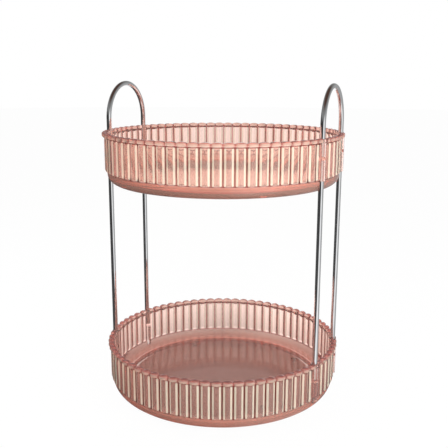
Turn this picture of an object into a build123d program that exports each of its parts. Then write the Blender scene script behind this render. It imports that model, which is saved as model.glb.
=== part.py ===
from build123d import *
import math
import os

# Two-tier round makeup organizer on a turntable.
# Two equal fluted trays of clear tinted plastic stand one above the other on four
# plated rods. Two plated wire arches plug into the upper tray as handles. The lower
# tray turns on a low ball-bearing turntable.
# Millimetres. +Z is up, the origin is on the table in the middle of the feet, and the
# two arches stand at -X and +X.

os.makedirs("parts", exist_ok=True)

# Tray moulding, one tool for both tiers
rim_diameter = 240.0
tray_height = 50.0
rim_band_height = 4.0
rim_overhang = 2.2             # rim edge beyond the crests of the flutes
rim_bead_depth = 2.2           # crest to valley of the beads, one over each flute
rim_edge_radius = 1.4
rim_lip_radius = 0.8           # inner edge of the rim
rib_count = 72
rib_depth = 2.0                # crest to valley
rib_root = 0.3                 # how far flutes and beads are sunk into the band behind
rib_end_length = 3.6           # length of the domed end of each flute
wall_thickness = 1.7           # smooth wall behind the flutes
base_band_height = 11.5        # plain band under the flutes
base_corner_radius = 10.0
floor_thickness = 2.5
floor_recess = 5.0             # hollow under the floor, inside the foot ring
inner_corner_radius = 6.0
foot_ring_width = 5.0
tier_spacing = 215.0           # rim to rim

# Plated wire
wire_diameter = 5.0
wire_clearance = 0.05          # radial, wire in its socket
wire_end_chamfer = 0.5
handle_span = 70.0             # leg to leg, on the centre lines
handle_rise = 45.5             # top of the arch's centre line over the rim

# Sleeves moulded into the tray walls for the wire
sleeve_wall = 1.15
sleeve_inset = 0.3             # sleeve's outer side inside the rim edge
socket_depth = 16.5            # from the rim to the web
web_thickness = 3.0            # solid web between the upper and the lower socket

# Turning plate under the lower tray
plate_edge_clearance = 4.5     # plate inside the tray's foot ring
plate_thickness = 2.5

# Turntable base and its feet
base_screw_clearance = 5.0     # edge of the base to the heads of the plate screws
base_thickness = 2.5
base_lip_width = 2.5
base_lip_height = 5.5          # over the base plate
base_lip_edge_radius = 0.8
stiffener_count = 8
stiffener_thickness = 1.8
stiffener_height = 1.6
foot_diameter = 14.0
foot_thickness = 2.0
foot_recess = 1.0
foot_inset = 4.0               # foot pads inside the edge of the base
foot_count = 6
foot_start_angle = 30.0
foot_clearance = 0.1

# Ball race
ball_diameter = 6.0
ball_count = 16
race_clearance = 0.1           # ball to groove
race_floor = 0.4               # plate left under the groove
race_width = 9.0
race_gap = 3.0                 # between the two race rings, where the cage runs
cage_thickness = 2.0
cage_width = 12.0
cage_lip_clearance = 11.5      # cage inside the lip of the base
pocket_clearance = 0.12        # ball to pocket, radial

# Pivot
spindle_diameter = 12.0
spindle_clearance = 0.05       # radial running fit
washer_diameter = 20.0
washer_thickness = 1.2
washer_hole_clearance = 0.1
washer_gap = 0.3               # end play of the turntable
hub_wall = 2.0
hub_radius_gap = 0.6           # washer to the hub's hollow, radial
hub_shoulder = 2.8
pivot_screw_diameter = 4.0
pivot_screw_length = 8.0
pivot_head_diameter = 8.0
pivot_head_height = 2.2
pivot_head_edge_radius = 1.1
pivot_head_recess = 0.5        # head above the underside of the base
pivot_slot_length = 4.8

# Screws that hold the plate to the lower tray
plate_screw_diameter = 3.0
plate_screw_length = 6.0
plate_head_diameter = 6.0
plate_head_height = 1.9
plate_head_edge_radius = 0.9
plate_slot_length = 3.6
plate_screw_count = 4
plate_screw_start_angle = 45.0
plate_screw_inset = 8.0        # screws inside the edge of the plate
boss_diameter = 9.0
boss_height = 2.5

# Fits of both kinds of screw, threads left plain
screw_clearance = 0.02         # radial, screw in the plastic that it cuts into
through_clearance = 0.2        # radial, screw in a part that it only passes through
hole_tip_gap = 0.3             # hole deeper than the screw's tip
driver_slot_width = 1.0
driver_slot_depth = 0.9

# Radii of a tray
rim_radius = rim_diameter / 2
rib_crest_radius = rim_radius - rim_overhang
rib_valley_radius = rib_crest_radius - rib_depth
shell_radius = rib_valley_radius - rib_root
inner_radius = shell_radius - wall_thickness
bead_valley_radius = rim_radius - rim_bead_depth
rim_band_radius = bead_valley_radius - rib_root
foot_ring_outer = shell_radius - base_corner_radius
foot_ring_inner = foot_ring_outer - foot_ring_width

# Sleeves and the wire in them
sleeve_bore = wire_diameter + 2 * wire_clearance
sleeve_diameter = sleeve_bore + 2 * sleeve_wall
rod_circle_radius = rim_radius - sleeve_inset - sleeve_diameter / 2
leg_y = handle_span / 2
leg_x = math.sqrt(rod_circle_radius**2 - leg_y**2)
leg_spots = [(x, y) for x in (-leg_x, leg_x) for y in (-leg_y, leg_y)]

# Radii of the turntable, each inside the one before
plate_radius = foot_ring_inner - plate_edge_clearance
plate_screw_circle = plate_radius - plate_screw_inset
base_radius = plate_screw_circle - plate_head_diameter / 2 - base_screw_clearance
foot_circle = base_radius - foot_inset - foot_diameter / 2
ball_circle = base_radius - base_lip_width - cage_lip_clearance - cage_width / 2
hub_radius = washer_diameter / 2 + hub_radius_gap + hub_wall

# Heights inside a tray, from its foot ring
floor_top = floor_recess + floor_thickness
web_top = tray_height - socket_depth
web_bottom = web_top - web_thickness
boss_bottom = floor_recess - boss_height
rib_bottom = base_band_height
rib_top = tray_height - rim_band_height

# Heights in the turntable, from the table
base_bottom = foot_thickness - foot_recess
base_top = base_bottom + base_thickness
groove_radius = ball_diameter / 2 + race_clearance
ball_height = base_top + race_floor + groove_radius
lower_race_top = ball_height - race_gap / 2
upper_race_bottom = ball_height + race_gap / 2
plate_bottom = ball_height + groove_radius + race_floor
plate_top = plate_bottom + plate_thickness
pivot_head_bottom = base_bottom + pivot_head_recess
washer_bottom = pivot_head_bottom + pivot_head_height
washer_top = washer_bottom + washer_thickness
hub_shoulder_bottom = washer_top + washer_gap
hub_top = hub_shoulder_bottom + hub_shoulder
plate_head_bottom = plate_bottom - plate_head_height

# Where the trays stand: the plate bears on the bosses under the lower floor
lower_foot = plate_top - boss_bottom
upper_foot = lower_foot + tier_spacing
upper_rim = upper_foot + tray_height

# The circle of one flute, and that of one bead, runs through its crest and its two valleys
half_pitch = math.pi / rib_count
rib_centre = (rib_crest_radius**2 - rib_valley_radius**2) / (
    2 * (rib_crest_radius - rib_valley_radius * math.cos(half_pitch))
)
rib_radius = rib_crest_radius - rib_centre
bead_centre = (rim_radius**2 - bead_valley_radius**2) / (
    2 * (rim_radius - bead_valley_radius * math.cos(half_pitch))
)
bead_radius = rim_radius - bead_centre

# The arc of a domed end meets the crest without a corner
rib_rise = rib_crest_radius - shell_radius
rib_end_radius = (rib_end_length**2 + rib_rise**2) / (2 * rib_rise)

# Ring of flutes, cut to a domed end at the top and at the bottom of each
with BuildPart() as fluted_ring:
    with BuildSketch(Plane.XY.offset(rib_bottom)):
        Circle(shell_radius)
        with PolarLocations(rib_centre, rib_count):
            Circle(rib_radius)
    extrude(amount=rib_top - rib_bottom)
    with BuildSketch(Plane.XZ):
        with BuildLine():
            Polyline(
                (shell_radius, rib_bottom),
                (0, rib_bottom),
                (0, rib_top),
                (shell_radius, rib_top),
            )
            RadiusArc(
                (shell_radius, rib_top),
                (rib_crest_radius, rib_top - rib_end_length),
                rib_end_radius,
            )
            Line(
                (rib_crest_radius, rib_top - rib_end_length),
                (rib_crest_radius, rib_bottom + rib_end_length),
            )
            RadiusArc(
                (rib_crest_radius, rib_bottom + rib_end_length),
                (shell_radius, rib_bottom),
                rib_end_radius,
            )
        make_face()
    revolve(axis=Axis.Z, mode=Mode.INTERSECT)

# Ring of beads round the rim, cut to rounded edges
with BuildPart() as beaded_ring:
    with BuildSketch(Plane.XY.offset(rib_top)):
        Circle(rim_band_radius)
        with PolarLocations(bead_centre, rib_count):
            Circle(bead_radius)
    extrude(amount=rim_band_height)
    with BuildSketch(Plane.XZ):
        with BuildLine():
            Polyline(
                (rim_radius - rim_edge_radius, rib_top),
                (0, rib_top),
                (0, tray_height),
                (rim_radius - rim_edge_radius, tray_height),
            )
            RadiusArc(
                (rim_radius - rim_edge_radius, tray_height),
                (rim_radius, tray_height - rim_edge_radius),
                rim_edge_radius,
            )
            Line(
                (rim_radius, tray_height - rim_edge_radius),
                (rim_radius, rib_top + rim_edge_radius),
            )
            RadiusArc(
                (rim_radius, rib_top + rim_edge_radius),
                (rim_radius - rim_edge_radius, rib_top),
                rim_edge_radius,
            )
        make_face()
    revolve(axis=Axis.Z, mode=Mode.INTERSECT)

# Hollow of a tray, with a post left standing round each socket
with BuildPart() as tray_hollow:
    with BuildSketch(Plane.XZ):
        with BuildLine():
            Polyline(
                (inner_radius - inner_corner_radius, floor_top),
                (0, floor_top),
                (0, tray_height),
                (inner_radius + rim_lip_radius, tray_height),
            )
            RadiusArc(
                (inner_radius + rim_lip_radius, tray_height),
                (inner_radius, tray_height - rim_lip_radius),
                -rim_lip_radius,
            )
            Line(
                (inner_radius, tray_height - rim_lip_radius),
                (inner_radius, floor_top + inner_corner_radius),
            )
            RadiusArc(
                (inner_radius, floor_top + inner_corner_radius),
                (inner_radius - inner_corner_radius, floor_top),
                inner_corner_radius,
            )
        make_face()
    revolve(axis=Axis.Z)
    with BuildSketch(Plane.XY.offset(floor_top)):
        with Locations(*leg_spots):
            Circle(sleeve_diameter / 2)
    extrude(amount=tray_height - floor_top, mode=Mode.SUBTRACT)

# Tray moulding: base, smooth wall and rim in one turn, then flutes, beads and sleeves
with BuildPart() as tray:
    with BuildSketch(Plane.XZ):
        with BuildLine():
            Polyline(
                (foot_ring_outer, 0),
                (foot_ring_inner, 0),
                (foot_ring_inner, floor_recess),
                (0, floor_recess),
                (0, tray_height),
                (rim_band_radius, tray_height),
                (rim_band_radius, rib_top),
                (shell_radius, rib_top),
                (shell_radius, base_corner_radius),
            )
            RadiusArc(
                (shell_radius, base_corner_radius),
                (foot_ring_outer, 0),
                base_corner_radius,
            )
        make_face()
    revolve(axis=Axis.Z)
    add(fluted_ring.part)
    add(beaded_ring.part)
    with BuildSketch(Plane.XY.offset(rib_bottom)):
        with Locations(*leg_spots):
            Circle(sleeve_diameter / 2)
    extrude(amount=tray_height - rib_bottom)
    add(tray_hollow.part, mode=Mode.SUBTRACT)
    with BuildSketch(Plane.XY.offset(web_top)):
        with Locations(*leg_spots):
            Circle(sleeve_bore / 2)
    extrude(amount=socket_depth, mode=Mode.SUBTRACT)
    with BuildSketch(Plane.XY):
        with Locations(*leg_spots):
            Circle(sleeve_bore / 2)
    extrude(amount=web_bottom, mode=Mode.SUBTRACT)
    with BuildSketch(Plane.XY.offset(boss_bottom)):
        with PolarLocations(plate_screw_circle, plate_screw_count, plate_screw_start_angle):
            Circle(boss_diameter / 2)
    extrude(amount=boss_height)
    with BuildSketch(Plane.XY.offset(boss_bottom)):
        with PolarLocations(plate_screw_circle, plate_screw_count, plate_screw_start_angle):
            Circle(plate_screw_diameter / 2 + screw_clearance)
    extrude(
        amount=plate_screw_length - plate_thickness + hole_tip_gap,
        mode=Mode.SUBTRACT,
    )

with BuildPart() as lower_tray:
    with Locations((0, 0, lower_foot)):
        add(tray.part)
lower_tray.part.label = "lower_tray"
export_step(lower_tray.part, "parts/lower_tray.step")

with BuildPart() as upper_tray:
    with Locations((0, 0, upper_foot)):
        add(tray.part)
upper_tray.part.label = "upper_tray"
export_step(upper_tray.part, "parts/upper_tray.step")

# Rods, from the webs of the lower tray up to the webs of the upper one
rod_bottom = lower_foot + web_top
rod_length = upper_foot + web_bottom - rod_bottom
rod_spots = {
    "back_right_rod": (leg_x, leg_y),
    "front_right_rod": (leg_x, -leg_y),
    "back_left_rod": (-leg_x, leg_y),
    "front_left_rod": (-leg_x, -leg_y),
}
for rod_name, rod_spot in rod_spots.items():
    with BuildPart() as rod:
        with BuildSketch(Plane.XY.offset(rod_bottom)):
            with Locations(rod_spot):
                Circle(wire_diameter / 2)
        extrude(amount=rod_length)
        chamfer(rod.edges().filter_by(GeomType.CIRCLE), wire_end_chamfer)
    rod.part.label = rod_name
    export_step(rod.part, f"parts/{rod_name}.step")

# Handles: one arch of wire on each side, with both legs in the upper sockets
leg_bottom = upper_foot + web_top
arch_radius = handle_span / 2
arch_centre = upper_rim + handle_rise - arch_radius
for handle_name, handle_x in (("left_handle", -leg_x), ("right_handle", leg_x)):
    with BuildPart() as handle:
        with BuildLine() as arch_line:
            Line((handle_x, -leg_y, leg_bottom), (handle_x, -leg_y, arch_centre))
            ThreePointArc(
                (handle_x, -leg_y, arch_centre),
                (handle_x, 0, arch_centre + arch_radius),
                (handle_x, leg_y, arch_centre),
            )
            Line((handle_x, leg_y, arch_centre), (handle_x, leg_y, leg_bottom))
        with BuildSketch(Plane.XY.offset(leg_bottom)):
            with Locations((handle_x, -leg_y)):
                Circle(wire_diameter / 2)
        sweep(path=arch_line.line)
        leg_ends = handle.edges().filter_by(GeomType.CIRCLE).group_by(Axis.Z)[0]
        chamfer(leg_ends, wire_end_chamfer)
    handle.part.label = handle_name
    export_step(handle.part, f"parts/{handle_name}.step")

# Turntable base: plate, lip, stiffeners, lower race ring and hub
with BuildPart() as turntable_base:
    with BuildSketch(Plane.XY.offset(base_bottom)):
        Circle(base_radius)
    extrude(amount=base_thickness)
    with BuildSketch(Plane.XY.offset(base_top)):
        Circle(base_radius)
        Circle(base_radius - base_lip_width, mode=Mode.SUBTRACT)
    extrude(amount=base_lip_height)
    lip_edges = turntable_base.edges().filter_by(GeomType.CIRCLE).group_by(Axis.Z)[-1]
    fillet(lip_edges, base_lip_edge_radius)
    with BuildSketch(Plane.XY.offset(base_top)):
        with PolarLocations(ball_circle / 2, stiffener_count):
            Rectangle(ball_circle, stiffener_thickness)
    extrude(amount=stiffener_height)
    with BuildSketch(Plane.XY.offset(base_top)):
        Circle(ball_circle + race_width / 2)
        Circle(ball_circle - race_width / 2, mode=Mode.SUBTRACT)
    extrude(amount=lower_race_top - base_top)
    with BuildSketch(Plane.XY.offset(base_top)):
        Circle(hub_radius)
    extrude(amount=hub_top - base_top)
    with BuildSketch(Plane.XY.offset(base_bottom)):
        Circle(hub_radius - hub_wall)
    extrude(amount=hub_shoulder_bottom - base_bottom, mode=Mode.SUBTRACT)
    with BuildSketch(Plane.XY.offset(base_bottom)):
        Circle(spindle_diameter / 2 + spindle_clearance)
    extrude(amount=hub_top - base_bottom, mode=Mode.SUBTRACT)
    with BuildSketch(Plane.XZ):
        with Locations((ball_circle, ball_height)):
            Circle(groove_radius)
    revolve(axis=Axis.Z, mode=Mode.SUBTRACT)
    with BuildSketch(Plane.XY.offset(base_bottom)):
        with PolarLocations(foot_circle, foot_count, foot_start_angle):
            Circle(foot_diameter / 2 + foot_clearance)
    extrude(amount=foot_recess, mode=Mode.SUBTRACT)
turntable_base.part.label = "turntable_base"
export_step(turntable_base.part, "parts/turntable_base.step")

# Foot pads, stuck into the recesses under the base
with BuildPart() as foot_pads:
    with BuildSketch(Plane.XY):
        with PolarLocations(foot_circle, foot_count, foot_start_angle):
            Circle(foot_diameter / 2)
    extrude(amount=foot_thickness)
foot_pads.part.label = "foot_pads"
export_step(foot_pads.part, "parts/foot_pads.step")

# Turning plate: the upper race ring and the spindle hang under it
with BuildPart() as turntable_plate:
    with BuildSketch(Plane.XY.offset(plate_bottom)):
        Circle(plate_radius)
    extrude(amount=plate_thickness)
    with BuildSketch(Plane.XY.offset(upper_race_bottom)):
        Circle(ball_circle + race_width / 2)
        Circle(ball_circle - race_width / 2, mode=Mode.SUBTRACT)
    extrude(amount=plate_bottom - upper_race_bottom)
    with BuildSketch(Plane.XY.offset(washer_top)):
        Circle(spindle_diameter / 2)
    extrude(amount=plate_bottom - washer_top)
    with BuildSketch(Plane.XZ):
        with Locations((ball_circle, ball_height)):
            Circle(groove_radius)
    revolve(axis=Axis.Z, mode=Mode.SUBTRACT)
    with BuildSketch(Plane.XY.offset(washer_top)):
        Circle(pivot_screw_diameter / 2 + screw_clearance)
    extrude(
        amount=pivot_screw_length - washer_thickness + hole_tip_gap,
        mode=Mode.SUBTRACT,
    )
    with BuildSketch(Plane.XY.offset(plate_bottom)):
        with PolarLocations(plate_screw_circle, plate_screw_count, plate_screw_start_angle):
            Circle(plate_screw_diameter / 2 + through_clearance)
    extrude(amount=plate_thickness, mode=Mode.SUBTRACT)
turntable_plate.part.label = "turntable_plate"
export_step(turntable_plate.part, "parts/turntable_plate.step")

# Ball cage: a flat ring with one pocket for each ball
with BuildPart() as ball_cage:
    with BuildSketch(Plane.XY.offset(ball_height - cage_thickness / 2)):
        Circle(ball_circle + cage_width / 2)
        Circle(ball_circle - cage_width / 2, mode=Mode.SUBTRACT)
        with PolarLocations(ball_circle, ball_count):
            Circle(ball_diameter / 2 + pocket_clearance, mode=Mode.SUBTRACT)
    extrude(amount=cage_thickness)
ball_cage.part.label = "ball_cage"
export_step(ball_cage.part, "parts/ball_cage.step")

# Steel balls
with BuildPart() as bearing_balls:
    with Locations((0, 0, ball_height)):
        with PolarLocations(ball_circle, ball_count):
            Sphere(ball_diameter / 2)
bearing_balls.part.label = "bearing_balls"
export_step(bearing_balls.part, "parts/bearing_balls.step")

# Pivot washer, clamped on the end of the spindle
with BuildPart() as pivot_washer:
    with BuildSketch(Plane.XY.offset(washer_bottom)):
        Circle(washer_diameter / 2)
        Circle(pivot_screw_diameter / 2 + washer_hole_clearance, mode=Mode.SUBTRACT)
    extrude(amount=washer_thickness)
pivot_washer.part.label = "pivot_washer"
export_step(pivot_washer.part, "parts/pivot_washer.step")

# Pivot screw, up through the washer into the spindle
with BuildPart() as pivot_screw:
    with BuildSketch(Plane.XY.offset(pivot_head_bottom)):
        Circle(pivot_head_diameter / 2)
    extrude(amount=pivot_head_height)
    head_edge = pivot_screw.edges().filter_by(GeomType.CIRCLE).group_by(Axis.Z)[0]
    fillet(head_edge, pivot_head_edge_radius)
    with BuildSketch(Plane.XY.offset(washer_bottom)):
        Circle(pivot_screw_diameter / 2)
    extrude(amount=pivot_screw_length)
    with BuildSketch(Plane.XY.offset(pivot_head_bottom)):
        Rectangle(pivot_slot_length, driver_slot_width)
        Rectangle(driver_slot_width, pivot_slot_length)
    extrude(amount=driver_slot_depth, mode=Mode.SUBTRACT)
pivot_screw.part.label = "pivot_screw"
export_step(pivot_screw.part, "parts/pivot_screw.step")

# Plate screws, up through the plate into the bosses of the lower tray
with BuildPart() as plate_screw:
    with BuildSketch(Plane.XY.offset(plate_head_bottom)):
        Circle(plate_head_diameter / 2)
    extrude(amount=plate_head_height)
    head_edge = plate_screw.edges().filter_by(GeomType.CIRCLE).group_by(Axis.Z)[0]
    fillet(head_edge, plate_head_edge_radius)
    with BuildSketch(Plane.XY.offset(plate_bottom)):
        Circle(plate_screw_diameter / 2)
    extrude(amount=plate_screw_length)
    with BuildSketch(Plane.XY.offset(plate_head_bottom)):
        Rectangle(plate_slot_length, driver_slot_width)
        Rectangle(driver_slot_width, plate_slot_length)
    extrude(amount=driver_slot_depth, mode=Mode.SUBTRACT)
with BuildPart() as plate_screws:
    with PolarLocations(plate_screw_circle, plate_screw_count, plate_screw_start_angle):
        add(plate_screw.part)
plate_screws.part.label = "plate_screws"
export_step(plate_screws.part, "parts/plate_screws.step")
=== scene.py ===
import math
from functools import partial

import bmesh
import bpy
import numpy as np
from mathutils import Matrix, Vector


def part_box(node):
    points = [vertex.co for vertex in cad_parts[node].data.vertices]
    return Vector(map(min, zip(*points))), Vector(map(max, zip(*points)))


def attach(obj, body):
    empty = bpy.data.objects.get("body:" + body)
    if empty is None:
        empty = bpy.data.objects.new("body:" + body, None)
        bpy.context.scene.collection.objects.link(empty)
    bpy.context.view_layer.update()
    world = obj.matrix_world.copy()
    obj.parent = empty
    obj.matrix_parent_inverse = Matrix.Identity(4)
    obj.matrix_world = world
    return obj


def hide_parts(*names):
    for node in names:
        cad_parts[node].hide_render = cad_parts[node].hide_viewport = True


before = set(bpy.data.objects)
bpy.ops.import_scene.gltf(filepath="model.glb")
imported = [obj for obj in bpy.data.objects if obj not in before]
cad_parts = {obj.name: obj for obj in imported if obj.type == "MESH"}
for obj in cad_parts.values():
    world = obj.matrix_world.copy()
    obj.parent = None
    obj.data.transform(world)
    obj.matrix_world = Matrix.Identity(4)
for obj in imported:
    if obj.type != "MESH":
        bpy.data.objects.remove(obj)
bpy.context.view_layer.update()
mm = 0.001

# Foot pads
# Six round pads of soft grey rubber, die-cut from sheet and stuck into the recesses under the
# turntable base. They keep it from sliding.
rubber_stops = [(0.35, (0.26, 0.25, 0.25)), (0.65, (0.36, 0.35, 0.35))]
noise_least, noise_most = 0.3, 0.7


def new_finish(name):
    """A new material, with its node tree and its shader."""
    finish = bpy.data.materials.new(name)
    finish.use_nodes = True
    tree = finish.node_tree
    return finish, tree, tree.nodes["Principled BSDF"]


def rgba(colour):
    """A colour in the form that the nodes take. A single number stands for a grey."""
    return (*colour, 1) if isinstance(colour, tuple) else (colour, colour, colour, 1)


def ramped(tree, source, stops):
    """A colour ramp over a value, with a stop at each (place, colour)."""
    ramp = tree.nodes.new("ShaderNodeValToRGB")
    while len(ramp.color_ramp.elements) < len(stops):
        ramp.color_ramp.elements.new(0.5)
    for element, (where, colour) in zip(ramp.color_ramp.elements, stops):
        element.position = where
        element.color = rgba(colour)
    tree.links.new(source, ramp.inputs["Fac"])
    return ramp.outputs["Color"]


def noise_over(tree, scale, detail):
    """Noise fixed to the piece itself."""
    place = tree.nodes.new("ShaderNodeTexCoord")
    noise = tree.nodes.new("ShaderNodeTexNoise")
    noise.inputs["Scale"].default_value = scale
    noise.inputs["Detail"].default_value = detail
    tree.links.new(place.outputs["Object"], noise.inputs["Vector"])
    return noise.outputs["Fac"]


def colour_by(tree, shader, noise, stops):
    """Colour that follows a noise."""
    tree.links.new(ramped(tree, noise, stops), shader.inputs["Base Color"])


def roughen(tree, shader, noise, low, high):
    """Roughness that follows a noise from low to high."""
    spread = tree.nodes.new("ShaderNodeMapRange")
    spread.inputs["From Min"].default_value = noise_least
    spread.inputs["From Max"].default_value = noise_most
    spread.inputs["To Min"].default_value = low
    spread.inputs["To Max"].default_value = high
    tree.links.new(noise, spread.inputs["Value"])
    tree.links.new(spread.outputs["Result"], shader.inputs["Roughness"])


def emboss(tree, shader, height, depth, strength):
    """Fine relief from a height."""
    bump = tree.nodes.new("ShaderNodeBump")
    bump.inputs["Strength"].default_value = strength
    bump.inputs["Distance"].default_value = depth
    tree.links.new(height, bump.inputs["Height"])
    tree.links.new(bump.outputs["Normal"], shader.inputs["Normal"])


def rubber_finish():
    """Soft grey rubber with a sandy grain."""
    finish, tree, shader = new_finish("grey_rubber")
    grain = noise_over(tree, scale=900, detail=4)
    colour_by(tree, shader, grain, rubber_stops)
    roughen(tree, shader, grain, low=0.7, high=0.85)
    emboss(tree, shader, grain, depth=0.1 * mm, strength=0.3)
    return finish


def wear(node, finish):
    """Puts a finish on a solid whose own shape is right."""
    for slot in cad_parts[node].material_slots:
        slot.link = "OBJECT"
        slot.material = finish


wear("foot_pads", rubber_finish())

# Turntable base
# A round dish of opaque rose plastic with a lip, a hub and the lower ball groove. It is injection
# moulded with a fine matt grain, and stands on the pads.
solid_rose_stops = [(0.3, (0.44, 0.20, 0.165)), (0.7, (0.52, 0.26, 0.21))]


def solid_rose_finish():
    """Opaque rose plastic, a little cloudy, with the fine grain of its mould."""
    finish, tree, shader = new_finish("solid_rose_plastic")
    cloud = noise_over(tree, scale=45, detail=3)
    grain = noise_over(tree, scale=2500, detail=2)
    colour_by(tree, shader, cloud, solid_rose_stops)
    roughen(tree, shader, cloud, low=0.34, high=0.44)
    emboss(tree, shader, grain, depth=0.03 * mm, strength=0.5)
    return finish


solid_rose = solid_rose_finish()
wear("turntable_base", solid_rose)

# Ball cage and bearing balls
# A flat ring of natural nylon, punched with one pocket for each of the sixteen polished steel
# balls. It lies loose in the groove and rolls round with them.
nylon_stops = [(0.3, (0.70, 0.65, 0.54)), (0.7, (0.80, 0.76, 0.66))]
ball_steel_stops = [(0.3, (0.62, 0.63, 0.65)), (0.7, (0.70, 0.71, 0.72))]


def nylon_finish():
    """Natural nylon, which lets a little light in."""
    finish, tree, shader = new_finish("natural_nylon")
    cloud = noise_over(tree, scale=130, detail=3)
    colour_by(tree, shader, cloud, nylon_stops)
    roughen(tree, shader, cloud, low=0.42, high=0.56)
    shader.inputs["Subsurface Weight"].default_value = 0.3
    shader.inputs["Subsurface Scale"].default_value = 1 * mm
    return finish


def metal_finish(name, stops, scale, smooth, dull):
    """A metal whose brightness and polish wander a little."""
    finish, tree, shader = new_finish(name)
    cloud = noise_over(tree, scale, detail=3)
    colour_by(tree, shader, cloud, stops)
    roughen(tree, shader, cloud, smooth, dull)
    shader.inputs["Metallic"].default_value = 1
    return finish


wear("ball_cage", nylon_finish())
wear("bearing_balls", metal_finish("polished_ball_steel", ball_steel_stops, 300, smooth=0.05, dull=0.1))

# Turning plate
# A round plate of the same opaque rose plastic, with the upper ball groove and a spindle that
# runs in the hub of the base.
wear("turntable_plate", solid_rose)

# Pivot washer and pivot screw
# A plain washer and a pan-head screw of bright zinc-plated steel. The screw goes up into the
# spindle and clamps the washer on its end, so the plate can't lift out of the base.
zinc_stops = [(0.3, (0.50, 0.51, 0.54)), (0.7, (0.66, 0.67, 0.66))]
pivot_low, pivot_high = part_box("pivot_screw")
pivot_head_height = 2.2 * mm
pivot_head_round = 1.1 * mm
pivot_thread_radius = 2.0 * mm
pivot_thread_pitch = 1.2 * mm
pivot_slot_length = 4.8 * mm
driver_slot_width = 1.0 * mm
driver_slot_depth = 0.9 * mm
screw_sides = 48
screw_corner = 40
thread_start = 0.2 * mm
thread_runout = 0.8 * mm
thread_rows_per_turn = 10
thread_flank = 3.2
thread_depth_share = 0.2
thread_tip_share = 0.45


def new_piece(name, data):
    """A new object in the scene."""
    piece = bpy.data.objects.new(name, data)
    bpy.context.scene.collection.objects.link(piece)
    return piece


def finished_mesh(name, form):
    """The mesh of a bmesh form, which is then put away."""
    mesh = bpy.data.meshes.new(name)
    form.to_mesh(mesh)
    form.free()
    return mesh


def arc(start, end, count):
    """Even steps of an angle between two values in degrees."""
    return np.linspace(math.radians(start), math.radians(end), count)


def skinned(name, rings, first, last):
    """A closed mesh over rings of places, each as long as the next, with a place that closes each end."""
    count = len(rings[0])
    places = np.vstack([[first], *rings, [last]])
    around = np.arange(count)
    ahead = (around + 1) % count
    faces = [(0, 1 + b, 1 + a) for a, b in zip(around, ahead)]
    for row in range(len(rings) - 1):
        low, high = 1 + row * count, 1 + (row + 1) * count
        faces += zip(low + around, low + ahead, high + ahead, high + around)
    top = 1 + (len(rings) - 1) * count
    faces += [(top + a, top + b, len(places) - 1) for a, b in zip(around, ahead)]
    mesh = bpy.data.meshes.new(name)
    mesh.from_pydata(places.tolist(), [], [tuple(map(int, f)) for f in faces])
    mesh.update()
    return mesh


def turned(name, rows, angles, first_pole, last_pole):
    """A closed form turned about Z: each row is a height and the distance from the axis at each angle."""
    level = np.ones(len(angles))
    rings = [np.stack([reach * np.cos(angles), reach * np.sin(angles), height * level], axis=1)
             for height, reach in rows]
    return skinned(name, rings, (0, 0, first_pole), (0, 0, last_pole))


def shade(mesh, corner):
    """Smooth shading that breaks at every corner sharper than the angle."""
    mesh.shade_smooth()
    mesh.set_sharp_from_angle(angle=math.radians(corner))


def cut(piece, tool, how):
    """Takes a tool's form out of a piece, or joins it on, and puts the tool away."""
    step = piece.modifiers.new(how, "BOOLEAN")
    step.operation = how
    step.solver = "EXACT"
    step.object = tool
    done = bpy.data.meshes.new_from_object(piece.evaluated_get(bpy.context.evaluated_depsgraph_get()))
    piece.modifiers.clear()
    piece.data = done
    bpy.data.objects.remove(tool)


def screw_up(name, low, high, head_radius, head_height, head_round, thread_radius, pitch, slot_length):
    """A pan-head screw that points up: a rounded head with a cross recess under it, and a rolled
    thread that fades out at the tip."""
    angles = np.arange(screw_sides) * 2 * math.pi / screw_sides
    ring = np.ones(screw_sides)
    rows = [(low, ring * (head_radius - head_round) * share) for share in (0.5, 1)]
    for turn in arc(-75, 0, 6):
        rows.append((low + head_round * (1 + math.sin(turn)),
                     ring * (head_radius - head_round * (1 - math.cos(turn)))))
    shoulder = low + head_height
    rows += [(shoulder, ring * head_radius), (shoulder, ring * thread_radius)]
    for height in np.arange(shoulder + thread_start, high, pitch / thread_rows_per_turn):
        turn = (height / pitch - angles / (2 * math.pi)) % 1
        sunk = np.clip(thread_flank / 2 - thread_flank * np.abs(turn - 0.5), 0, 1)
        groove = sunk * thread_depth_share * thread_radius
        taper = min(1, thread_tip_share + (1 - thread_tip_share) * (high - height) / thread_runout)
        rows.append((height, (thread_radius - groove) * taper))
    piece = new_piece(name, turned(name, rows, angles, low, high))
    form = bmesh.new()
    for length, width in ((slot_length, driver_slot_width), (driver_slot_width, slot_length)):
        size = Matrix.Diagonal((length, width, 2 * driver_slot_depth, 1))
        bmesh.ops.create_cube(form, size=1, matrix=Matrix.Translation((0, 0, low)) @ size)
    cut(piece, new_piece("cross_recess", finished_mesh("cross_recess", form)), "DIFFERENCE")
    shade(piece.data, screw_corner)
    return piece


def stand_for(piece, node, finish):
    """Gives a new piece its finish, and puts it in the place of a solid that turns with the trays."""
    piece.data.materials.clear()
    piece.data.materials.append(finish)
    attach(piece, "organizer")
    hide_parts(node)


zinc = metal_finish("zinc_plating", zinc_stops, 500, smooth=0.24, dull=0.4)
wear("pivot_washer", zinc)
pivot = screw_up("pivot_pan_screw", pivot_low.z, pivot_high.z, pivot_high.x, pivot_head_height,
                 pivot_head_round, pivot_thread_radius, pivot_thread_pitch, pivot_slot_length)
stand_for(pivot, "pivot_screw", zinc)

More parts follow.
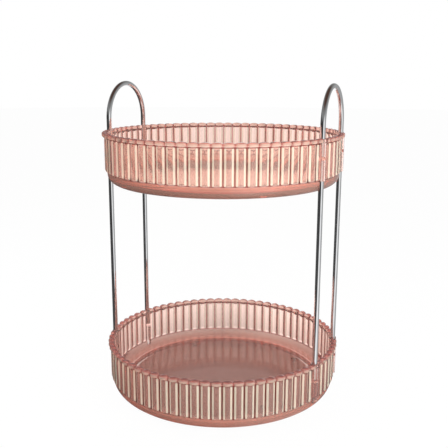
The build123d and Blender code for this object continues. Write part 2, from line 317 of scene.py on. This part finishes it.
# Lower tray
# One injection moulding of clear rose polystyrene: a wall of round flutes with domed ends, a bead
# over each flute on the rim, a plain rounded base, and four sleeves in the wall for the wire.
# It is screwed down on the plate by four bosses under its floor.
tray_low, tray_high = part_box("lower_tray")
rim_radius = tray_high.x
tray_height = tray_high.z - tray_low.z
rib_count = 72
rim_overhang = 2.2 * mm
rim_band_height = 4.0 * mm
rim_bead_depth = 2.2 * mm
rim_bead_dip = 1.2 * mm
rim_edge_radius = 1.4 * mm
rim_lip_radius = 0.8 * mm
rib_depth = 2.0 * mm
rib_root = 0.3 * mm
rib_end_length = 3.6 * mm
rib_end_gap = 0.03 * mm
wall_thickness = 1.7 * mm
base_band_height = 11.5 * mm
base_corner_radius = 10.0 * mm
floor_thickness = 2.5 * mm
floor_recess = 5.0 * mm
inner_corner_radius = 6.0 * mm
foot_ring_width = 5.0 * mm
foot_ring_edge = 0.4 * mm
bore_diameter = 5.1 * mm
sleeve_wall = 1.15 * mm
sleeve_inset = 0.3 * mm
socket_depth = 16.5 * mm
web_thickness = 3.0 * mm
handle_span = 70.0 * mm
plate_screw_circle = 88.0 * mm
boss_diameter = 9.0 * mm
boss_height = 2.5 * mm
boss_hole_diameter = 3.04 * mm
boss_hole_depth = 3.8 * mm

rib_crest = rim_radius - rim_overhang
rib_valley = rib_crest - rib_depth
shell_radius = rib_valley - rib_root
inner_radius = shell_radius - wall_thickness
bead_valley = rim_radius - rim_bead_depth
sleeve_radius = bore_diameter / 2 + sleeve_wall
leg_circle = rim_radius - sleeve_inset - sleeve_radius
leg_y = handle_span / 2
leg_x = math.sqrt(leg_circle**2 - leg_y**2)
leg_angle = math.atan2(leg_y, leg_x)
floor_top = floor_recess + floor_thickness
web_top = tray_height - socket_depth
web_bottom = web_top - web_thickness
rib_bottom = base_band_height
rib_top = tray_height - rim_band_height
foot_ring_outer = shell_radius - base_corner_radius
foot_ring_inner = foot_ring_outer - foot_ring_width
boss_bottom = floor_recess - boss_height

steps_per_rib = 14
sleeve_sweep = math.radians(2.2)
sleeve_steps = 41
least_angle = 1e-4
rib_straight_margin = 6 * mm
peg_sides = 64
cut_overlap = 1 * mm
tray_corner = 32


def round_face(angles, centre, radius, side, miss):
    """Distance from the axis to the far (side 1) or near (side -1) face of a round form, whose middle
    lies at the distance centre and the angle 0. Angles that miss the form get the last value."""
    reach = radius**2 - (centre * np.sin(angles)) ** 2
    face = centre * np.cos(angles) + side * np.sqrt(np.clip(reach, 0, None))
    return np.where(reach > 0, face, miss)


def scallops(angles, crest, valley):
    """Distance from the axis to a ring of round flutes with that crest and valley."""
    half = math.pi / rib_count
    centre = (crest**2 - valley**2) / (2 * (crest - valley * math.cos(half)))
    return round_face((angles + half) % (2 * half) - half, centre, crest - centre, 1, valley)


def tray_angles():
    """Even steps round the tray, with finer ones over the four sleeves."""
    even = np.arange(rib_count * steps_per_rib) * 2 * math.pi / (rib_count * steps_per_rib)
    fine = sleeve_sweep * np.linspace(-1, 1, sleeve_steps)
    legs = [leg_angle, math.pi - leg_angle, math.pi + leg_angle, -leg_angle]
    every = np.concatenate([even] + [leg + fine for leg in legs]) % (2 * math.pi)
    every.sort()
    return every[np.append(np.diff(every) > least_angle, True)]


def tray_rows(angles):
    """The moulding's section from the underside out, up the flutes, over the rim and down inside."""
    ring = np.ones_like(angles)
    off = np.abs((angles + math.pi / 2) % math.pi - math.pi / 2) - leg_angle
    sleeve_out = round_face(off, leg_circle, sleeve_radius, 1, 0)
    inner = np.minimum(inner_radius, round_face(off, leg_circle, sleeve_radius, -1, 1))
    flutes = scallops(angles, rib_crest, rib_valley)
    beads = np.maximum(scallops(angles, rim_radius, bead_valley), sleeve_out)
    crown = tray_height - rim_bead_dip * (rim_radius - beads) / rim_bead_depth
    dome_rise = rib_crest - shell_radius
    dome_radius = (rib_end_length**2 + dome_rise**2) / (2 * dome_rise)
    dome_steps = rib_end_length * (1 - np.cos(arc(0, 90, 9)))
    straight = np.linspace(rib_bottom + rib_straight_margin, rib_top - rib_straight_margin, 5)

    def fluted(height, from_end):
        rest = max(rib_end_length - from_end, 0)
        dome = rib_crest - dome_radius + math.sqrt(dome_radius**2 - rest**2)
        return height, np.maximum(np.maximum(np.minimum(flutes, dome), shell_radius), sleeve_out)

    rows = [
        (floor_recess, ring * (foot_ring_inner - foot_ring_edge)),
        (floor_recess - foot_ring_edge, ring * foot_ring_inner),
        (foot_ring_edge, ring * foot_ring_inner),
        (0, ring * (foot_ring_inner + foot_ring_edge)),
    ]
    rows += [(base_corner_radius * (1 + math.sin(turn)),
              ring * (foot_ring_outer + base_corner_radius * math.cos(turn))) for turn in arc(-90, 0, 12)]
    rows.append((rib_bottom, ring * shell_radius))
    rows += [fluted(rib_bottom + rib_end_gap + d, d) for d in dome_steps]
    rows += [fluted(height, rib_end_length) for height in straight]
    rows += [fluted(rib_top - rib_end_gap - d, d) for d in dome_steps[::-1]]
    rows.append((rib_top, np.maximum(ring * shell_radius, sleeve_out)))
    rows += [(rib_top + rim_edge_radius * (1 + math.sin(turn)),
              beads - rim_edge_radius * (1 - math.cos(turn))) for turn in arc(-90, 0, 6)]
    rows += [(crown - rim_edge_radius * (1 - math.sin(turn)),
              beads - rim_edge_radius * (1 - math.cos(turn))) for turn in arc(0, 90, 7)]
    rows += [(crown - rim_lip_radius * (1 - math.sin(turn)),
              inner + rim_lip_radius * (1 - math.cos(turn))) for turn in arc(90, 0, 6)]
    rows.append((rib_top, inner))
    rows += [(floor_top + inner_corner_radius * (1 + math.sin(turn)),
              np.minimum(inner, inner_radius - inner_corner_radius * (1 - math.cos(turn))))
             for turn in arc(0, -90, 8)]
    return rows


def pegs(name, spots):
    """Round pegs in one form: each spot is (x, y, low, high, radius)."""
    form = bmesh.new()
    for x, y, low, high, radius in spots:
        bmesh.ops.create_cone(
            form, cap_ends=True, segments=peg_sides, radius1=radius, radius2=radius, depth=high - low,
            matrix=Matrix.Translation((x, y, (low + high) / 2)),
        )
    return new_piece(name, finished_mesh(name, form))


def mould_tray():
    """The tray's shell, with its four bosses joined on and its sockets and screw holes cut out."""
    angles = tray_angles()
    shell = turned("tray_moulding", tray_rows(angles), angles, floor_recess, floor_top)
    piece = new_piece("lower_tray_moulding", shell)
    spread = plate_screw_circle * math.sqrt(0.5)
    corners = [(x, y) for x in (-spread, spread) for y in (-spread, spread)]
    legs = [(x, y) for x in (-leg_x, leg_x) for y in (-leg_y, leg_y)]
    bosses = [(*spot, boss_bottom, floor_recess + cut_overlap, boss_diameter / 2) for spot in corners]
    cut(piece, pegs("bosses", bosses), "UNION")
    bores = [(*spot, web_top, tray_height + cut_overlap, bore_diameter / 2) for spot in legs]
    bores += [(*spot, -cut_overlap, web_bottom, bore_diameter / 2) for spot in legs]
    bores += [(*spot, boss_bottom - cut_overlap, boss_bottom + boss_hole_depth, boss_hole_diameter / 2)
              for spot in corners]
    cut(piece, pegs("bores", bores), "DIFFERENCE")
    shade(piece.data, tray_corner)
    return piece


def feed(tree, socket, value):
    """Sets a node's input to a value, or joins another node's output to it."""
    if isinstance(value, bpy.types.NodeSocket):
        tree.links.new(value, socket)
    else:
        socket.default_value = value


def maths(tree, operation, first, second=0.0):
    """One step of arithmetic between nodes."""
    step = tree.nodes.new("ShaderNodeMath")
    step.operation = operation
    feed(tree, step.inputs[0], first)
    feed(tree, step.inputs[1], second)
    return step.outputs[0]


def blended(tree, share, first, second):
    """Two colours, mixed by a share."""
    mix = tree.nodes.new("ShaderNodeMix")
    mix.data_type = "RGBA"
    tree.links.new(share, mix.inputs["Factor"])
    for side, colour in (("A", first), ("B", second)):
        feed(tree, mix.inputs[side], colour if isinstance(colour, bpy.types.NodeSocket) else rgba(colour))
    return mix.outputs["Result"]


outer_skin = inner_radius + 0.9 * mm
base_skin = foot_ring_outer - 1.0 * mm
floor_skin = floor_top - 0.5 * mm
sleeve_sight = 0.93 * sleeve_radius / leg_circle
plain_wall_rose = (0.99, 0.89, 0.84)
plain_wall_clear = 0.93
base_band_rose = (0.85, 0.49, 0.385)
base_band_clear = 0.68
# Painted highlight: beside each groove the flanks turn cream and less clear, so they show as pale bars.
flute_colour_and_highlight_stops = [(0.42, (0.99, 0.88, 0.80)), (0.5, (1.0, 0.96, 0.77))]
flute_clear_stops = [(0.42, 0.93), (0.5, 0.55), (0.84, 0.55), (0.9, 0.85)]
# Painted shade: a dark rose line down each groove and round the ends of the flutes.
groove_shade_stops = [(0.75, 0), (0.82, 0.45), (0.9, 0.9), (1.0, 1)]
groove_shade_rose = (0.28, 0.075, 0.075)
flute_end_length = 2.0 * mm
flute_end_most = 0.99
end_shade_start = 0.4
end_shade_share = 0.8
# Painted shade on the beads: their own pale rose in the middle, dark rose towards the edges.
bead_colour_and_shade_stops = [(0.0, (0.86, 0.71, 0.59)), (0.3, (0.83, 0.62, 0.51)), (0.7, (0.74, 0.37, 0.32)),
              (1.0, (0.54, 0.20, 0.18))]
bead_squareness = 6
bead_clear = 0.66
depth_rose = (0.98, 0.70, 0.63)
depth_density = 170
polystyrene_ior = 1.49


def clear_rose_finish():
    """Clear rose plastic, denser where the base is thick. The flutes carry a painted highlight, pale and
    less clear flanks beside each groove, and painted shade, a dark rose line in the grooves and round
    their ends.
    The beads carry painted shade that darkens them towards their edges, and the sleeves are as clear as
    the plain wall, so the wire shows inside them."""
    finish, tree, shader = new_finish("clear_rose_plastic")
    calc, mix = partial(maths, tree), partial(blended, tree)
    place = tree.nodes.new("ShaderNodeTexCoord")
    split = tree.nodes.new("ShaderNodeSeparateXYZ")
    tree.links.new(place.outputs["Object"], split.inputs["Vector"])
    x, y, z = split.outputs
    angle = calc("ARCTAN2", y, x)
    reach = calc("SQRT", calc("ADD", calc("MULTIPLY", x, x), calc("MULTIPLY", y, y)))

    across = calc("MULTIPLY", calc("PINGPONG", angle, math.pi / rib_count), rib_count / math.pi)
    from_middle = calc("ABSOLUTE", calc("SUBTRACT", z, (rib_top + rib_bottom) / 2))
    straight = (rib_top - rib_bottom) / 2 - flute_end_length
    past = calc("MAXIMUM", calc("SUBTRACT", from_middle, straight), 0.0)
    into_end = calc("MINIMUM", calc("DIVIDE", past, flute_end_length), flute_end_most)
    width = calc("SQRT", calc("SUBTRACT", 1.0, calc("POWER", into_end, 2)))
    # Painted shade in the grooves, widening into arches at the flute ends, and a painted dark line round
    # those ends.
    groove = ramped(tree, calc("DIVIDE", across, width), groove_shade_stops)
    end_shade = calc("MULTIPLY", calc("GREATER_THAN", into_end, end_shade_start), end_shade_share)
    # The flutes' own colour, with the painted highlight on the flanks and the painted shade in the
    # grooves and round the ends.
    flute_tint_and_light = mix(calc("MAXIMUM", groove, end_shade), ramped(tree, across, flute_colour_and_highlight_stops), groove_shade_rose)

    # Painted shade that darkens each bead towards its top and sides.
    up_bead = calc("DIVIDE", calc("SUBTRACT", z, (rib_top + tray_height) / 2), rim_band_height / 2)
    over_bead = calc("POWER", calc("MAXIMUM", up_bead, 0.0), 2)
    from_bead = calc("SQRT", calc("ADD", calc("POWER", across, bead_squareness), over_bead))
    bead_tint_and_shade = ramped(tree, from_bead, bead_colour_and_shade_stops)

    in_rim = calc("GREATER_THAN", z, rib_top)
    outside = calc("GREATER_THAN", reach, outer_skin)
    above = calc("GREATER_THAN", z, rib_bottom)
    from_leg = calc("SUBTRACT", calc("PINGPONG", angle, math.pi / 2), leg_angle)
    off_sleeve = calc("GREATER_THAN", calc("ABSOLUTE", from_leg), sleeve_sight)
    fluted = calc("MULTIPLY", calc("MULTIPLY", outside, above), off_sleeve)
    under = calc("LESS_THAN", z, floor_skin)
    skin = calc("MULTIPLY", calc("MAXIMUM", outside, under), calc("GREATER_THAN", reach, base_skin))
    thick = calc("MULTIPLY", skin, calc("LESS_THAN", z, rib_bottom))

    plain_tint = mix(thick, plain_wall_rose, base_band_rose)
    outer_tint_and_light = mix(in_rim, flute_tint_and_light, bead_tint_and_shade)
    tree.links.new(mix(fluted, plain_tint, outer_tint_and_light), shader.inputs["Base Color"])
    outer_clear = mix(in_rim, ramped(tree, across, flute_clear_stops), bead_clear)
    wall_clear = mix(fluted, plain_wall_clear, outer_clear)
    tree.links.new(mix(thick, wall_clear, base_band_clear), shader.inputs["Transmission Weight"])

    cloud = noise_over(tree, scale=60, detail=2)
    roughen(tree, shader, cloud, low=0.03, high=0.07)
    emboss(tree, shader, cloud, depth=0.3 * mm, strength=0.2)
    shader.inputs["IOR"].default_value = polystyrene_ior
    depth = tree.nodes.new("ShaderNodeVolumeAbsorption")
    depth.inputs["Color"].default_value = rgba(depth_rose)
    depth.inputs["Density"].default_value = depth_density
    tree.links.new(depth.outputs["Volume"], tree.nodes["Material Output"].inputs["Volume"])
    return finish


clear_rose = clear_rose_finish()
lower_moulding = mould_tray()
lower_moulding.location.z = tray_low.z
stand_for(lower_moulding, "lower_tray", clear_rose)

# Plate screws
# Four small pan-head screws of bright zinc-plated steel. They go up through the plate and cut
# their thread in the bosses of the lower tray.
plate_screw_low, plate_screw_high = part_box("plate_screws")
plate_head_radius = 3.0 * mm
plate_head_height = 1.9 * mm
plate_head_round = 0.9 * mm
plate_thread_radius = 1.5 * mm
plate_thread_pitch = 1.1 * mm
plate_slot_length = 3.6 * mm

plate_screw = screw_up("plate_pan_screws", plate_screw_low.z, plate_screw_high.z, plate_head_radius,
                       plate_head_height, plate_head_round, plate_thread_radius, plate_thread_pitch,
                       plate_slot_length)
four_screws = bmesh.new()
for quarter in range(4):
    one_screw = plate_screw.data.copy()
    turn = Matrix.Rotation(math.radians(45 + 90 * quarter), 4, "Z")
    one_screw.transform(turn @ Matrix.Translation((plate_screw_circle, 0, 0)))
    four_screws.from_mesh(one_screw)
    bpy.data.meshes.remove(one_screw)
four_screws.to_mesh(plate_screw.data)
four_screws.free()
shade(plate_screw.data, screw_corner)
stand_for(plate_screw, "plate_screws", zinc)

# Rods
# Four straight lengths of 5 mm steel wire, cut, chamfered and chromed. Each is pushed down into a
# sleeve of the lower tray until it stops on the web.
chrome_stops = [(0.3, (0.80, 0.81, 0.83)), (0.7, (0.90, 0.905, 0.91))]
wire_chamfer = 0.5 * mm
wire_sides = 64
wire_corner = 32
rod_steps = 40


def drawn_wire(node, x, line, radius):
    """A round wire with chamfered ends, along a line of (y, z) places in the plane at x."""
    line = np.array(line)
    ways = np.gradient(line, axis=0)
    ways /= np.linalg.norm(ways, axis=1)[:, None]
    around = np.arange(wire_sides) * 2 * math.pi / wire_sides
    rings = []

    def ring(place, way, reach):
        off = np.outer(np.sin(around), (way[1], -way[0])) * reach
        rings.append(np.column_stack([x + np.cos(around) * reach, place + off]))

    ring(line[0], ways[0], radius - wire_chamfer)
    ring(line[0] + ways[0] * wire_chamfer, ways[0], radius)
    for place, way in zip(line[1:-1], ways[1:-1]):
        ring(place, way, radius)
    ring(line[-1] - ways[-1] * wire_chamfer, ways[-1], radius)
    ring(line[-1], ways[-1], radius - wire_chamfer)
    mesh = skinned(node + "_wire", rings, (x, *line[0]), (x, *line[-1]))
    shade(mesh, wire_corner)
    stand_for(new_piece(node + "_wire", mesh), node, chrome)


chrome = metal_finish("chrome_plating", chrome_stops, 90, smooth=0.03, dull=0.07)
for rod in ("front_left_rod", "front_right_rod", "back_left_rod", "back_right_rod"):
    foot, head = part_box(rod)
    rod_y = (foot.y + head.y) / 2
    line = [(rod_y, z) for z in np.linspace(foot.z, head.z, rod_steps)]
    drawn_wire(rod, (foot.x + head.x) / 2, line, (head.x - foot.x) / 2)

# Upper tray
# A second moulding from the same tool. It is pressed down on the four rods, which end on the
# underside of its webs.
upper_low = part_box("upper_tray")[0]
upper_moulding = new_piece("upper_tray_moulding", lower_moulding.data)
upper_moulding.location.z = upper_low.z
stand_for(upper_moulding, "upper_tray", clear_rose)

# Handles
# The same wire, bent cold over a former into an arch and chromed. Both legs go down into the
# upper halves of the upper tray's sleeves.
leg_steps = 12
arch_steps = 91
for handle in ("left_handle", "right_handle"):
    foot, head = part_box(handle)
    wire_radius = (head.x - foot.x) / 2
    arch_radius = (head.y - foot.y) / 2 - wire_radius
    arch_centre = head.z - wire_radius - arch_radius
    rise = np.linspace(foot.z, arch_centre, leg_steps)[:-1]
    line = [(-arch_radius, z) for z in rise]
    line += [(-arch_radius * math.cos(turn), arch_centre + arch_radius * math.sin(turn))
             for turn in arc(0, 180, arch_steps)]
    line += [(arch_radius, z) for z in rise[::-1]]
    drawn_wire(handle, (foot.x + head.x) / 2, line, wire_radius)

# Studio
# A pale floor in a pale room, with its window in front and to the right. The chrome mirrors a dark
# wall on the left and pale panels beside it, and the clear plastic shows a rose card at each side.
# Both see the floor darker round the foot.
picture_turn = math.radians(22.64)
rose_card = (0.60, 0.27, 0.24)
walls_in_metal = [(-180, 1.0), (-174, 1.0), (-160, 0.06), (2, 0.04), (15, 1.0), (44, 1.0), (60, 0.42),
                  (150, 0.36), (165, 1.0), (180, 1.0)]
walls_in_plastic = [(-180, 1.05), (-165, 1.2), (-92, (1.4, 1.3, 1.32)), (-80, rose_card),
                    (-56, rose_card), (-36, 1.0), (36, 1.0), (54, rose_card), (80, rose_card),
                    (95, (1.4, 1.3, 1.3)), (155, 1.5), (180, 1.05)]
overhead_in_metal = [(0.3, (0.27, 0.275, 0.27)), (0.6, (0.2, 0.195, 0.19)), (0.85, (0.08, 0.045, 0.035))]
overhead_in_plastic = 1.05
walls_end, overhead_start = 0.1, 0.4
floor_radius = 6
floor_sides = 64
floor_roughness = 0.9
floor_colour = 0.95
floor_bounce = 0.45
floor_shadow = [(0.11, 0.45), (0.26, 1.0)]
floor_glow_share = 0.97
room_light = 0.5
lamp_aim = Vector((0, 0, 0.16))


def room_seen(tree, way):
    """The room as metal and clear plastic see it in a direction. Gives the colour of the walls, by the
    bearing from the picture's front, the direction's height, a 1 for a ray that comes from metal or
    clear plastic, and the kinds of ray."""
    turn = tree.nodes.new("ShaderNodeVectorRotate")
    turn.rotation_type = "Z_AXIS"
    turn.inputs["Angle"].default_value = -picture_turn
    tree.links.new(way, turn.inputs["Vector"])
    split = tree.nodes.new("ShaderNodeSeparateXYZ")
    tree.links.new(turn.outputs["Vector"], split.inputs["Vector"])
    x, y, z = split.outputs
    bearing = maths(tree, "ARCTAN2", x, maths(tree, "MULTIPLY", y, -1.0))
    share = maths(tree, "ADD", maths(tree, "DIVIDE", bearing, 2 * math.pi), 0.5)
    walls = [ramped(tree, share, [((degrees + 180) / 360, colour) for degrees, colour in panels])
             for panels in (walls_in_metal, walls_in_plastic)]
    path = tree.nodes.new("ShaderNodeLightPath").outputs
    sharp = maths(tree, "MAXIMUM", path["Is Glossy Ray"], path["Is Transmission Ray"])
    return blended(tree, path["Is Transmission Ray"], *walls), z, sharp, path


def mixed(tree, share, first, second):
    """Two shaders, mixed by a share."""
    mix = tree.nodes.new("ShaderNodeMixShader")
    for socket, source in zip(mix.inputs, (share, first, second)):
        tree.links.new(source, socket)
    return mix.outputs[0]


def floor_finish():
    """A white floor to the camera. It glows with the room for metal and clear plastic, darker round
    the foot, and gives other rays a plain grey bounce."""
    finish, tree, shader = new_finish("studio_floor")
    place = tree.nodes.new("ShaderNodeTexCoord").outputs["Object"]
    walls, _, sharp, path = room_seen(tree, place)
    camera_ray = path["Is Camera Ray"]
    shader.inputs["Roughness"].default_value = floor_roughness
    tree.links.new(blended(tree, camera_ray, floor_bounce, floor_colour), shader.inputs["Base Color"])
    near = tree.nodes.new("ShaderNodeVectorMath")
    near.operation = "LENGTH"
    tree.links.new(place, near.inputs[0])
    shadow = ramped(tree, near.outputs["Value"], floor_shadow)
    glow = tree.nodes.new("ShaderNodeEmission")
    tree.links.new(blended(tree, camera_ray, walls, 1.0), glow.inputs["Color"])
    tree.links.new(maths(tree, "MAXIMUM", shadow, camera_ray), glow.inputs["Strength"])
    seen = maths(tree, "MULTIPLY", maths(tree, "MAXIMUM", sharp, camera_ray), floor_glow_share)
    surface = mixed(tree, seen, shader.outputs[0], glow.outputs[0])
    tree.links.new(surface, tree.nodes["Material Output"].inputs["Surface"])
    return finish


form = bmesh.new()
bmesh.ops.create_circle(form, cap_ends=True, segments=floor_sides, radius=floor_radius)
floor = new_piece("studio_floor", finished_mesh("studio_floor", form))
floor.data.materials.append(floor_finish())


def light_room():
    """The room round the stand: white to the camera, the walls and what is overhead to metal and
    clear plastic, and an even grey light to the rest."""
    world = bpy.data.worlds.new("studio")
    bpy.context.scene.world = world
    world.use_nodes = True
    tree = world.node_tree
    place = tree.nodes.new("ShaderNodeTexCoord")
    walls, z, sharp, path = room_seen(tree, place.outputs["Generated"])
    height = tree.nodes.new("ShaderNodeMapRange")
    height.inputs["From Min"].default_value = walls_end
    height.inputs["From Max"].default_value = overhead_start
    tree.links.new(z, height.inputs["Value"])
    overhead = blended(tree, path["Is Transmission Ray"], ramped(tree, z, overhead_in_metal),
                       overhead_in_plastic)
    room = tree.nodes["Background"]
    tree.links.new(blended(tree, height.outputs["Result"], walls, overhead), room.inputs["Color"])
    soft = tree.nodes.new("ShaderNodeBackground")
    soft.inputs["Color"].default_value = rgba(room_light)
    white = tree.nodes.new("ShaderNodeBackground")
    white.inputs["Color"].default_value = rgba(1)
    lit = mixed(tree, sharp, soft.outputs[0], room.outputs[0])
    shown = mixed(tree, path["Is Camera Ray"], lit, white.outputs[0])
    tree.links.new(shown, tree.nodes["World Output"].inputs["Surface"])


light_room()


def hang_lamp(name, bearing, distance, height, side, watts):
    """A soft square panel of light that faces the object, by its bearing from the picture's front."""
    lamp = bpy.data.lights.new(name, "AREA")
    lamp.size = side
    lamp.energy = watts
    holder = new_piece(name, lamp)
    holder.visible_camera = holder.visible_glossy = holder.visible_transmission = False
    way = picture_turn + math.radians(bearing)
    holder.location = (math.sin(way) * distance, -math.cos(way) * distance, height)
    holder.rotation_euler = (lamp_aim - holder.location).to_track_quat("-Z", "Y").to_euler()


hang_lamp("wall_panel", bearing=-95, distance=0.8, height=0.4, side=0.5, watts=3.4)
hang_lamp("window_panel", bearing=22, distance=0.78, height=0.34, side=0.5, watts=6.2)
hang_lamp("side_panel", bearing=80, distance=0.7, height=0.6, side=0.5, watts=1.8)
hang_lamp("back_panel", bearing=-160, distance=0.7, height=0.9, side=0.8, watts=2)

# Camera
# It stands where the photo was taken from, a little to the right of the front and above the upper
# rim, and looks down at the lower tray.
camera_distance = 694.8 * mm
camera_height = 273.1 * mm + tray_high.z
camera_pitch = math.radians(12.445)
camera_roll = math.radians(0.251)
camera_aim = math.radians(0.08)
focal_pixels = 692.0
picture_width = 448

heading = Vector((math.sin(camera_aim), math.cos(camera_aim), 0))
right = Vector((math.cos(camera_aim), -math.sin(camera_aim), 0))
forward = heading * math.cos(camera_pitch) + Vector((0, 0, -math.sin(camera_pitch)))
up = right.cross(forward)
right_rolled = right * math.cos(camera_roll) + up * math.sin(camera_roll)
up_rolled = up * math.cos(camera_roll) - right * math.sin(camera_roll)
axes = Matrix((right_rolled, up_rolled, -forward)).transposed().to_4x4()
axes.translation = Vector((0, -camera_distance, camera_height))
lens = bpy.data.cameras.new("camera")
lens.sensor_width = 36
lens.lens = focal_pixels / picture_width * lens.sensor_width
lens.clip_start = 0.05
lens.clip_end = 20
camera = new_piece("camera", lens)
camera.matrix_world = Matrix.Rotation(picture_turn, 4, "Z") @ axes
scene = bpy.context.scene
scene.camera = camera
scene.view_settings.view_transform = "Standard"
scene.cycles.transmission_bounces = 16
scene.cycles.max_bounces = 20
